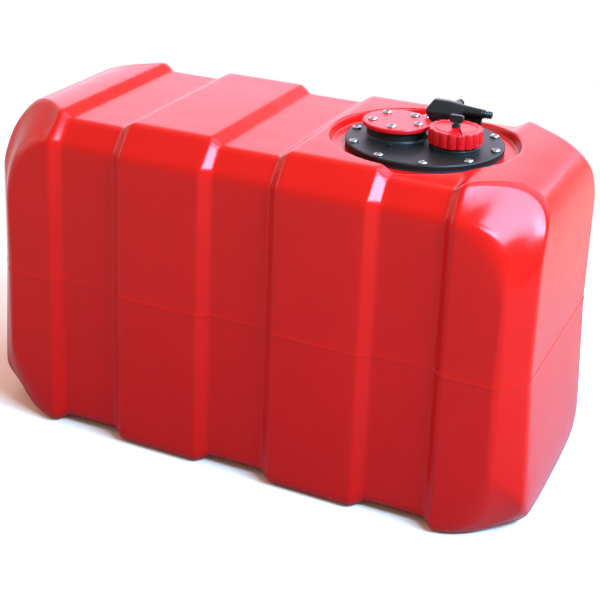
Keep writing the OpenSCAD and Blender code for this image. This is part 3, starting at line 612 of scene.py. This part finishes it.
def cutSlot(piece, place, turn):
    bm = bmesh.new()
    bmesh.ops.create_cube(bm, size=1)
    reach = cap["radius"] + cap["slotPast"] - cap["hub"]
    bmesh.ops.scale(bm, vec=Vector((reach, cap["slot"], 2 * cap["slotDeep"])) * mm, verts=bm.verts)
    lowEdges = [edge for edge in bm.edges
                if abs(edge.verts[0].co.x - edge.verts[1].co.x) > mm and edge.verts[0].co.z < 0]
    bmesh.ops.bevel(bm, geom=lowEdges, offset=cap["slotRound"] * mm, segments=cap["slotSteps"],
                    affect="EDGES", profile=0.5, material=-1)
    bmesh.ops.translate(bm, vec=((cap["hub"] + reach / 2) * mm, 0, 0), verts=bm.verts)
    bmesh.ops.rotate(bm, verts=bm.verts, matrix=Matrix.Rotation(math.radians(turn), 3, "Z"))
    bmesh.ops.translate(bm, vec=place, verts=bm.verts)
    subtract(piece, bm)


def buildCap():
    x, y, skirt, top = nodeBox("filler_cap")
    profile = capProfile(skirt, top)
    turns = cap["flutes"] * cap["stepsPerFlute"]
    columns = []
    for i in range(turns + 1):
        angle = math.tau * i / turns
        lobe = abs(math.sin(math.pi * (cap["flutes"] * i / turns - 0.5))) ** cap["lobePower"]
        column = []
        for radius, height in profile + profile[:1]:
            share = min(1, max(0, (radius - cap["fadeInner"]) / (cap["fadeOuter"] - cap["fadeInner"])))
            radius -= cap["flute"] * (1 - lobe) * share
            column.append(Vector((x + radius * math.cos(angle), y + radius * math.sin(angle), height)) * mm)
        columns.append(column)
    bm = bmesh.new()
    layGrid(bm, columns)
    bmesh.ops.remove_doubles(bm, verts=bm.verts, dist=cap["weld"] * mm)
    piece = makePiece("fillerCap", bm, "cap", redPolypropylene, cap["shadeAngle"], ["filler_cap"])
    for side in (0, 180):
        cutSlot(piece, Vector((x, y, top)) * mm, cap["slotTurn"] + side)
    print("filler cap:", len(piece.data.polygons), "faces")


buildCap()


# the cap's thread on the outside of the neck

neck = {
    "radius": 25, "sunk": 0.1, "proud": 0.45, "footHigh": 1.5, "crestHigh": 0.375,
    "pitch": 5, "turns": 1.6, "stepsPerTurn": 120, "overSkirt": 8.6, "shadeAngle": 40,
}


def buildThread():
    x, y, skirt = nodeBox("filler_cap")[:3]
    foot, crest = neck["radius"] - neck["sunk"], neck["radius"] + neck["proud"]
    ridge = [(foot, -neck["footHigh"] / 2), (crest, -neck["crestHigh"] / 2), (crest, neck["crestHigh"] / 2),
             (foot, neck["footHigh"] / 2)]
    bm = bmesh.new()
    verts = [bm.verts.new((radius * mm, 0, height * mm)) for radius, height in ridge]
    edges = [bm.edges.new((verts[k - 1], verts[k])) for k in range(len(verts))]
    steps = int(neck["turns"] * neck["stepsPerTurn"])
    bmesh.ops.spin(bm, geom=verts + edges, axis=(0, 0, 1), cent=(0, 0, 0), angle=math.tau * neck["turns"],
                   steps=steps, dvec=(0, 0, -neck["pitch"] * mm * neck["turns"] / steps))
    bmesh.ops.holes_fill(bm, edges=bm.edges, sides=len(verts))
    bmesh.ops.translate(bm, vec=Vector((x, y, skirt + neck["overSkirt"])) * mm, verts=bm.verts)
    piece = makePiece("neckThread", bm, "tank", blackNylon, neck["shadeAngle"])
    print("neck thread wound")


buildThread()


# pick-up head, moulded in one piece with soft edges all over: its solid is melted together finely

head = {"weld": 0.002, "voxel": 0.5, "ease": 0.5, "easeRounds": 22, "shadeAngle": 180}


def buildHead():
    bm = bmesh.new()
    bm.from_mesh(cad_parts["pickup_head"].data)
    bmesh.ops.remove_doubles(bm, verts=bm.verts, dist=head["weld"] * mm)
    piece = makePiece("pickupHead", bm, "tank", blackAcetal, head["shadeAngle"], ["pickup_head"])
    melt = piece.modifiers.new("Melt", "REMESH")
    melt.mode = "VOXEL"
    melt.voxel_size = head["voxel"] * mm
    melt.use_smooth_shade = True
    ease = piece.modifiers.new("Ease", "SMOOTH")
    ease.factor = head["ease"]
    ease.iterations = head["easeRounds"]
    applyModifiers(piece)
    piece.data.shade_smooth()
    print("pick-up head:", len(piece.data.polygons), "faces")


buildHead()


# solids drawn again with their sharp edges rounded, as moulding or turning leaves them

rounded = {  # each with its body, its finish, how wide the rounding is, and its slot
    "fittings_flange": ("tank", blackNylon, 0.5, "flange_black"),
    "sender_cover": ("tank", redPolypropylene, 0.7, "cap_red"),
    "vent_screw": ("vent", blackAcetal, 0.7, "flange_black"),
    "feed_hose_tail": ("tank", blackAcetal, 0.18, "head_black"),
    "return_hose_tail": ("tank", blackAcetal, 0.18, "head_black"),
    "lock_nut": ("tank", blackAcetal, 0.5, "flange_black"),
    "head_seal": ("tank", nitrileRubber, 0.4, "seal_rubber"),
    "cap_seal": ("cap_carrier", nitrileRubber, 0.3, "seal_rubber"),
    "vent_seal": ("vent_carrier", nitrileRubber, 0.3, "seal_rubber"),
}
rounding = {"weld": 0.002, "flatAngle": 1, "sharpAngle": 32, "shadeAngle": 40, "segments": 3}


def softEdges(node, body, material, width):
    bm = bmesh.new()
    bm.from_mesh(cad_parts[node].data)
    bmesh.ops.remove_doubles(bm, verts=bm.verts, dist=rounding["weld"] * mm)
    bmesh.ops.dissolve_limit(bm, angle_limit=math.radians(rounding["flatAngle"]), verts=bm.verts,
                             edges=bm.edges)
    first, *others = node.split("_")
    name = first + "".join(word.capitalize() for word in others)
    piece = makePiece(name, bm, body, material, rounding["shadeAngle"], [node])
    edge = piece.modifiers.new("Edges", "BEVEL")
    edge.width = width * mm
    edge.segments = rounding["segments"]
    edge.profile = 0.5
    edge.limit_method = "ANGLE"
    edge.angle_limit = math.radians(rounding["sharpAngle"])
    edge.material = -1
    return applyModifiers(piece)


for node, (body, material, width, slot) in rounded.items():
    softEdges(node, body, material, width)
print("moulded fittings rounded")


# solids shown as they are, in their real finish

finishes = {
    "backing_ring": rolledSteel, "flange_gasket": nitrileRubber, "thread_inserts": turnedBrass,
    "cover_gasket": nitrileRubber, "vent_clip": stainlessSteel, "suction_tube": greyPolyamide,
    "strainer": naturalNylon,
}
for node, material in finishes.items():
    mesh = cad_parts[node].data
    mesh.materials.clear()
    mesh.materials.append(material)
print("solids finished")


# camera, worked out from the photograph, which is cropped, so the lens axis is off its middle

view = {
    "place": (0.60766, -1.36907, 0.86418),
    "right": (0.89711, 0.44105, 0.02594), "up": (-0.16170, 0.27312, 0.94829),
    "lens": 82.116, "sensor": 36, "shift": (0.07412, -0.27278), "near": 0.05, "far": 50,
}


def setCamera():
    right, up = Vector(view["right"]).normalized(), Vector(view["up"]).normalized()
    lens = bpy.data.cameras.new("camera")
    lens.lens = view["lens"]
    lens.sensor_width = view["sensor"]
    lens.shift_x, lens.shift_y = view["shift"]
    lens.clip_start = view["near"]
    lens.clip_end = view["far"]
    camera = bpy.data.objects.new("camera", lens)
    scene.collection.objects.link(camera)
    turn = Matrix((right, up, right.cross(up))).transposed().to_4x4()
    camera.matrix_world = Matrix.Translation(view["place"]) @ turn
    scene.camera = camera


setCamera()
scene.view_settings.view_transform = "Standard"


# floor and background: pale close by, with the tank's shadow, and plain white far off, so that no edge shows

floor = {  # distances in m, from the middle of the tank
    "size": 30, "specular": 0.1, "rough": 0.9, "seen": "#FFD9C6",
    # the light that it throws back on the tank is that of a greyer floor, with painted shade darkest close
    # to the tank, where the tank shades it
    "shaded": "#8C8E8C", "open": "#D4D6D4", "shadedTo": 0.3, "openFrom": 1.3,
    "mirrored": "#8F8D8A",  # a reflection of the lit floor comes out no brighter than white either
    "whiteFrom": 0.34, "whiteAt": 0.9,
}


def backgroundRays(tree):  # 1 for the rays that show the background, 0 for those that light the object
    rays = addNode(tree, "ShaderNodeLightPath")
    seen = addNode(tree, "ShaderNodeMath",
                   {0: rays.outputs["Is Camera Ray"], 1: rays.outputs["Is Glossy Ray"]}, operation="MAXIMUM")
    seen = addNode(tree, "ShaderNodeMath",
                   {0: seen.outputs[0], 1: rays.outputs["Is Transmission Ray"]}, operation="MAXIMUM")
    return seen.outputs[0]


def floorFinish():
    material, tree, shader = newMaterial("paleFloor", **{"Specular IOR Level": floor["specular"],
                                                         "Roughness": floor["rough"]})
    place = addNode(tree, "ShaderNodeTexCoord").outputs["Object"]
    away = addNode(tree, "ShaderNodeVectorMath", {0: place}, operation="LENGTH").outputs["Value"]
    # painted shade: the colour that lights the tank from below darkens towards the tank
    reach = addNode(tree, "ShaderNodeMapRange", {"Value": away},
                    {"From Min": floor["shadedTo"], "From Max": floor["openFrom"]})
    bounce = addNode(tree, "ShaderNodeMix", {0: reach.outputs["Result"]},
                     {6: toLinear(floor["shaded"]), 7: toLinear(floor["open"])}, data_type="RGBA")
    paint = addNode(tree, "ShaderNodeMix", {0: backgroundRays(tree), 6: bounce.outputs[2]},
                    {7: toLinear(floor["seen"])}, data_type="RGBA")
    glossy = addNode(tree, "ShaderNodeLightPath").outputs["Is Glossy Ray"]
    mirrored = addNode(tree, "ShaderNodeMix", {0: glossy, 6: paint.outputs[2]},
                       {7: toLinear(floor["mirrored"])}, data_type="RGBA")
    tree.links.new(mirrored.outputs[2], shader.inputs["Base Color"])
    fade = addNode(tree, "ShaderNodeMapRange", {"Value": away},
                   {"From Min": floor["whiteFrom"], "From Max": floor["whiteAt"]})
    plainWhite = addNode(tree, "ShaderNodeEmission", None, {"Color": (1, 1, 1, 1), "Strength": 1.0})
    seenWhite = addNode(tree, "ShaderNodeMath", {0: fade.outputs["Result"], 1: backgroundRays(tree)},
                        operation="MULTIPLY")
    both = addNode(tree, "ShaderNodeMixShader",
                   {0: seenWhite.outputs[0], 1: shader.outputs[0], 2: plainWhite.outputs[0]})
    tree.links.new(both.outputs[0], tree.nodes["Material Output"].inputs["Surface"])
    return material


def layFloor():
    bm = bmesh.new()
    bmesh.ops.create_grid(bm, x_segments=2, y_segments=2, size=floor["size"])
    ground = toObject("floor", bm)
    ground.data.materials.append(floorFinish())


layFloor()


# soft boxes round the tank: direction and distance from what they aim at, size in m, and strength in watts

lampAim = (0.05, 0, 0.22)
softBoxes = {
    "keySoftBox": {"direction": (0.642, -0.38, 0.665), "distance": 2.6, "size": (1.1, 0.4), "roll": -27,
                   "strength": 124, "colour": "#8CD0FF"},
    "cornerSoftBox": {"direction": (0.688, -0.097, 0.719), "distance": 2.6, "size": (0.8, 1.8), "roll": 0,
                      "strength": 185, "colour": "#8CD0FF"},
    "sideSoftBox": {"direction": (0.473, 0.525, 0.707), "distance": 2.6, "size": (1.8, 2.8), "roll": 0,
                    "strength": 90, "colour": "#A0D4FF"},
    "fillSoftBox": {"direction": (-0.93, -0.2, 0.3), "distance": 2.8, "size": (1.5, 1.5), "roll": 0,
                    "strength": 14, "colour": "#FFE6DE"},
    "backSoftBox": {"direction": (-0.215, 0.932, 0.292), "distance": 3.0, "size": (4.5, 1.6), "roll": 0,
                    "strength": 39, "colour": "#ECD4FF"},
}
surroundings = {"colour": "#FFFBF2", "strength": 0.61}


def hangSoftBox(name, box):
    lamp = bpy.data.lights.new(name, "AREA")
    lamp.shape = "RECTANGLE"
    lamp.size, lamp.size_y = box["size"]
    lamp.energy = box["strength"]
    lamp.color = toLinear(box["colour"])[:3]
    hung = bpy.data.objects.new(name, lamp)
    scene.collection.objects.link(hung)
    out = Vector(box["direction"]).normalized()
    place = Matrix.Translation(Vector(lampAim) + out * box["distance"])
    roll = Matrix.Rotation(math.radians(box["roll"]), 4, "Z")
    hung.matrix_world = place @ out.to_track_quat("Z", "Y").to_matrix().to_4x4() @ roll


def setWorld():  # plain light from all round on the object, and plain white behind it
    world = bpy.data.worlds.new("studio")
    scene.world = world
    world.use_nodes = True
    tree = world.node_tree
    tree.nodes.clear()
    light = addNode(tree, "ShaderNodeBackground", None,
                    {"Color": toLinear(surroundings["colour"]), "Strength": surroundings["strength"]})
    white = addNode(tree, "ShaderNodeBackground", None, {"Color": (1, 1, 1, 1), "Strength": 1.0})
    both = addNode(tree, "ShaderNodeMixShader",
                   {0: backgroundRays(tree), 1: light.outputs[0], 2: white.outputs[0]})
    addNode(tree, "ShaderNodeOutputWorld", {"Surface": both.outputs[0]})


for name, box in softBoxes.items():
    hangSoftBox(name, box)
setWorld()
print("studio set up")

bpy.context.view_layer.update()
